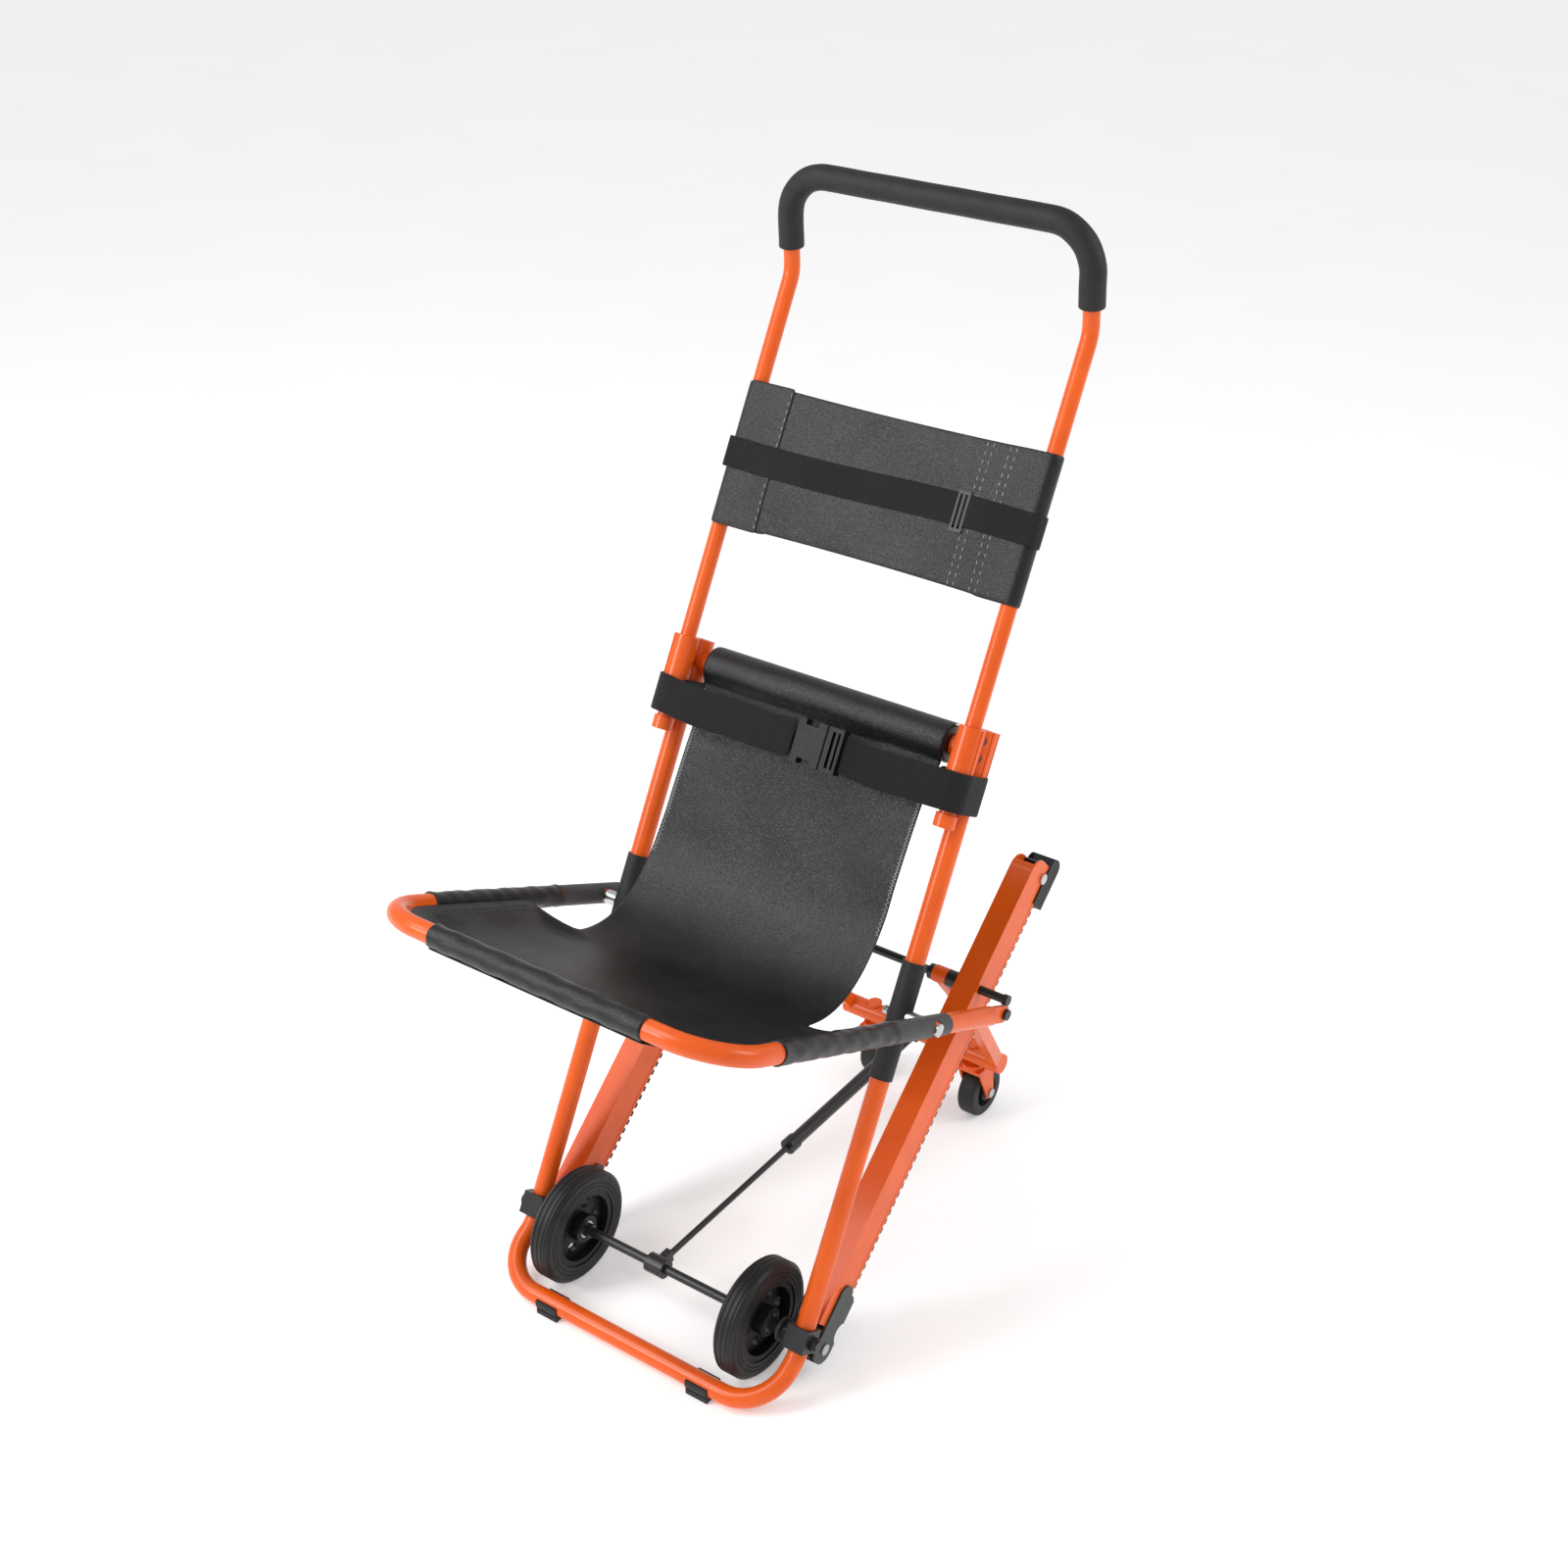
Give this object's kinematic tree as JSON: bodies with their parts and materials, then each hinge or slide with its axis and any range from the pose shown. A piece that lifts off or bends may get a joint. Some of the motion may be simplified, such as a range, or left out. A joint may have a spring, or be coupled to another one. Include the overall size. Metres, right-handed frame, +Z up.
{
  "type": "stair chair",
  "caption": "Folding stair chair with an orange tube frame, sling seat, telescopic push handle, belt tracks, front wheels and a folding rear leg on castors.",
  "frame": {"origin": "on the floor, under the middle of the chair's bounding box", "axes": "+Z up, -Y the way the sitter faces, +X to the right seen from the front"},
  "size_m": [0.526, 0.8348, 1.2925],
  "materials": {
    "powder_orange": "gloss powder coat",
    "black_steel": "satin black",
    "plate_grey": "satin",
    "plated_steel": "zinc plated",
    "tyre_rubber": "matt",
    "pad_rubber": "matt",
    "grip_foam": "satin foam",
    "leatherette": "satin coated fabric",
    "webbing": "woven",
    "black_plastic": "satin",
    "sleeve_plastic": "satin"
  },
  "bodies": {
    "frame": {"main_frame": "powder_orange", "foot_pads": "pad_rubber", "frame_clamp_left": "powder_orange", "frame_clamp_right": "powder_orange", "clamp_bolts": "black_steel", "back_tube": "powder_orange", "sling_roll": "leatherette", "sling_back": "leatherette", "tube_sleeve_left": "pad_rubber", "tube_sleeve_right": "pad_rubber", "seat_pivot_bolts": "plated_steel", "axle": "black_steel", "axle_bracket_left": "black_steel", "axle_bracket_right": "black_steel", "axle_spacers": "black_steel", "axle_nuts": "black_steel", "lap_strap_left": "webbing", "lap_strap_right": "webbing", "buckle_socket": "black_plastic", "buckle_tongue": "black_plastic"},
    "wheel_left": {"tyre_left": "tyre_rubber", "wheel_hub_left": "black_plastic", "wheel_bearing_left": "plated_steel"},
    "wheel_right": {"tyre_right": "tyre_rubber", "wheel_hub_right": "black_plastic", "wheel_bearing_right": "plated_steel"},
    "handle": {"handle_frame": "powder_orange", "handle_grip": "grip_foam", "handle_collars": "powder_orange", "back_panel": "leatherette", "chest_strap": "webbing", "chest_slider": "black_steel"},
    "seat": {"seat_frame": "powder_orange", "seat_front_cover": "leatherette", "seat_cover_left": "leatherette", "seat_cover_right": "leatherette", "seat_sleeves": "sleeve_plastic", "seat_rear_bolts": "black_steel", "sling_seat": "leatherette"},
    "tracks": {"track_beam_left": "powder_orange", "track_beam_right": "powder_orange", "track_belt_left": "pad_rubber", "track_belt_right": "pad_rubber", "track_plates_left": "plate_grey", "track_plates_right": "plate_grey", "stop_rod": "black_steel", "roller_pins": "plated_steel", "rollers": "black_plastic", "track_end_caps": "black_plastic"},
    "leg": {"leg_arms": "powder_orange", "leg_crossbar": "powder_orange"},
    "castor_left": {"castor_fork_left": "powder_orange", "castor_pin_left": "plated_steel"},
    "castor_right": {"castor_fork_right": "powder_orange", "castor_pin_right": "plated_steel"},
    "castor_roll_left": {"castor_wheel_left": "pad_rubber"},
    "castor_roll_right": {"castor_wheel_right": "pad_rubber"},
    "strut": {"strut_collar": "black_steel", "strut_rod": "black_steel"},
    "strut_outer": {"strut_cylinder": "black_steel"}
  },
  "joints": [
    {"name": "wheel_left_spin", "type": "hinge", "parent": "frame", "child": "wheel_left", "pos_m": [-0.1435, -0.2082, 0.075], "axis": [1, 0, 0], "continuous": true},
    {"name": "wheel_right_spin", "type": "hinge", "parent": "frame", "child": "wheel_right", "pos_m": [0.1435, -0.2082, 0.075], "axis": [1, 0, 0], "continuous": true},
    {"name": "handle_slide", "type": "slide", "parent": "frame", "child": "handle", "axis": [0, 0.4695, 0.8829], "range_m": [-0.12, 0]},
    {"name": "seat_fold", "type": "hinge", "parent": "frame", "child": "seat", "pos_m": [0, -0.019, 0.43083], "axis": [-1, 0, 0], "range_deg": [0, 66]},
    {"name": "track_fold", "type": "hinge", "parent": "frame", "child": "tracks", "pos_m": [0, -0.2082, 0.075], "axis": [1, 0, 0], "range_deg": [0, 17]},
    {"name": "leg_fold", "type": "hinge", "parent": "tracks", "child": "leg", "pos_m": [0, 0.15204, 0.37545], "axis": [-1, 0, 0], "range_deg": [0, 85]},
    {"name": "castor_left_swivel", "type": "hinge", "parent": "leg", "child": "castor_left", "pos_m": [-0.082, 0.3615, 0.075], "axis": [0, 0, 1], "continuous": true},
    {"name": "castor_right_swivel", "type": "hinge", "parent": "leg", "child": "castor_right", "pos_m": [0.082, 0.3615, 0.075], "axis": [0, 0, 1], "continuous": true},
    {"name": "castor_left_spin", "type": "hinge", "parent": "castor_left", "child": "castor_roll_left", "pos_m": [-0.082, 0.3805, 0.0375], "axis": [1, 0, 0], "continuous": true},
    {"name": "castor_right_spin", "type": "hinge", "parent": "castor_right", "child": "castor_roll_right", "pos_m": [0.082, 0.3805, 0.0375], "axis": [1, 0, 0], "continuous": true},
    {"name": "strut_swing", "type": "hinge", "parent": "tracks", "child": "strut", "pos_m": [0, -0.2082, 0.075], "axis": [1, 0, 0], "range_deg": [0, 42.2]},
    {"name": "strut_slide", "type": "slide", "parent": "strut", "child": "strut_outer", "axis": [0, 0.9983, 0.0578], "range_m": [-0.237, 0]}
  ],
  "couplings": [
    {"joint": "strut_swing", "follows": "leg_fold", "ratio": 0.49412},
    {"joint": "strut_slide", "follows": "leg_fold", "m_per_rad": -0.15908}
  ]
}
